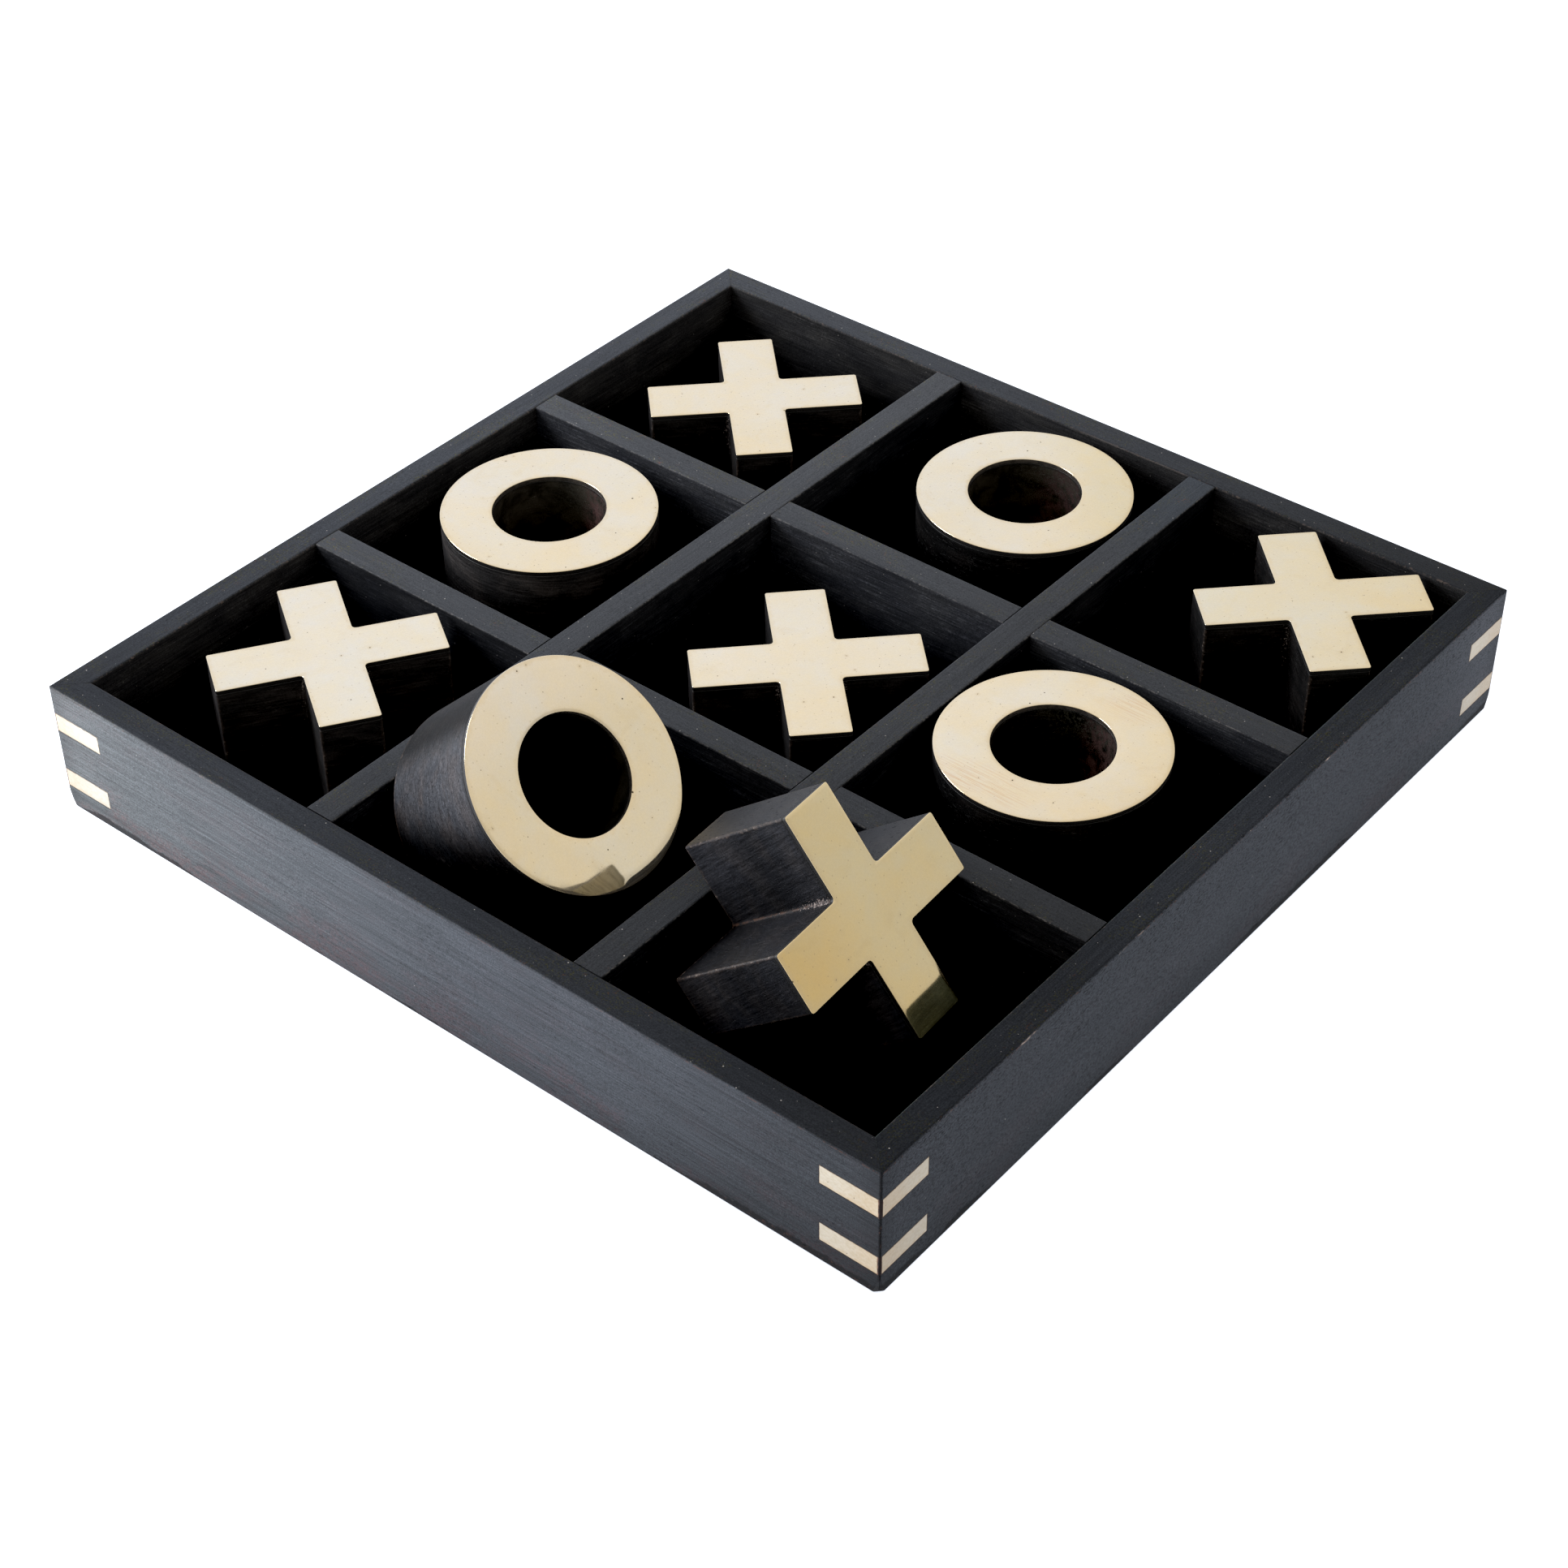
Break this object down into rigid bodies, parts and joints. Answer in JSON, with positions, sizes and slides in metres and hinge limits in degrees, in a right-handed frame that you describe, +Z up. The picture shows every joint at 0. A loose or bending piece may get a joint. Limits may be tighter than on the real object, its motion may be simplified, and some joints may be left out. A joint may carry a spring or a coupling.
{
  "type": "tic-tac-toe board",
  "caption": "Square ebonised wooden tray of open cells with brass corner inlays, holding loose wooden crosses and rings faced with polished brass plates.",
  "frame": {"origin": "centre of the tray's underside", "axes": "+Z up out of the cells, +X towards the right rail, -Y towards the front rail"},
  "size_m": [0.305, 0.305, 0.0826],
  "materials": {
    "tray_wood": "ebonised open-pore hardwood, satin, with long fine grain and rubbed arrises",
    "panel_wood": "thin panel stained matt black",
    "inlay_brass": "pale satin brass strip, sanded flush with the rail",
    "block_wood": "hardwood stained black-brown, satin, with fine saw lines and rubbed edges",
    "plate_brass": "pale brass plate polished to a mirror, with fine pits, faint tarnish and blackened edges"
  },
  "bodies": {
    "tray": {"rail_front": "tray_wood", "rail_right": "tray_wood", "rail_back": "tray_wood", "rail_left": "tray_wood", "base_panel": "panel_wood", "divider_long_left": "tray_wood", "divider_long_right": "tray_wood", "divider_cross_front": "tray_wood", "divider_cross_back": "tray_wood", "inlay_front_left_upper": "inlay_brass", "inlay_front_left_lower": "inlay_brass", "inlay_front_right_upper": "inlay_brass", "inlay_front_right_lower": "inlay_brass", "inlay_right_front_upper": "inlay_brass", "inlay_right_front_lower": "inlay_brass", "inlay_right_back_upper": "inlay_brass", "inlay_right_back_lower": "inlay_brass", "inlay_back_right_upper": "inlay_brass", "inlay_back_right_lower": "inlay_brass", "inlay_back_left_upper": "inlay_brass", "inlay_back_left_lower": "inlay_brass", "inlay_left_back_upper": "inlay_brass", "inlay_left_back_lower": "inlay_brass", "inlay_left_front_upper": "inlay_brass", "inlay_left_front_lower": "inlay_brass"},
    "x_piece_1": {"x_block_1": "block_wood", "x_plate_1": "plate_brass"},
    "x_piece_2": {"x_block_2": "block_wood", "x_plate_2": "plate_brass"},
    "x_piece_3": {"x_block_3": "block_wood", "x_plate_3": "plate_brass"},
    "x_piece_4": {"x_block_4": "block_wood", "x_plate_4": "plate_brass"},
    "x_piece_5": {"x_block_5": "block_wood", "x_plate_5": "plate_brass"},
    "o_piece_1": {"o_block_1": "block_wood", "o_plate_1": "plate_brass"},
    "o_piece_2": {"o_block_2": "block_wood", "o_plate_2": "plate_brass"},
    "o_piece_3": {"o_block_3": "block_wood", "o_plate_3": "plate_brass"},
    "o_piece_4": {"o_block_4": "block_wood", "o_plate_4": "plate_brass"}
  },
  "joints": [
    {"name": "lift_x_1", "type": "slide", "parent": "tray", "child": "x_piece_1", "axis": [0, 0, 1], "range_m": [0, 0.1]},
    {"name": "lift_x_2", "type": "slide", "parent": "tray", "child": "x_piece_2", "axis": [0, 0, 1], "range_m": [0, 0.1]},
    {"name": "lift_x_3", "type": "slide", "parent": "tray", "child": "x_piece_3", "axis": [0, 0, 1], "range_m": [0, 0.1]},
    {"name": "lift_x_4", "type": "slide", "parent": "tray", "child": "x_piece_4", "axis": [0, 0, 1], "range_m": [0, 0.1]},
    {"name": "lift_x_5", "type": "slide", "parent": "tray", "child": "x_piece_5", "axis": [0, 0, 1], "range_m": [0, 0.1]},
    {"name": "lift_o_1", "type": "slide", "parent": "tray", "child": "o_piece_1", "axis": [0, 0, 1], "range_m": [0, 0.1]},
    {"name": "lift_o_2", "type": "slide", "parent": "tray", "child": "o_piece_2", "axis": [0, 0, 1], "range_m": [0, 0.1]},
    {"name": "lift_o_3", "type": "slide", "parent": "tray", "child": "o_piece_3", "axis": [0, 0, 1], "range_m": [0, 0.1]},
    {"name": "lift_o_4", "type": "slide", "parent": "tray", "child": "o_piece_4", "axis": [0, 0, 1], "range_m": [0, 0.1]}
  ]
}
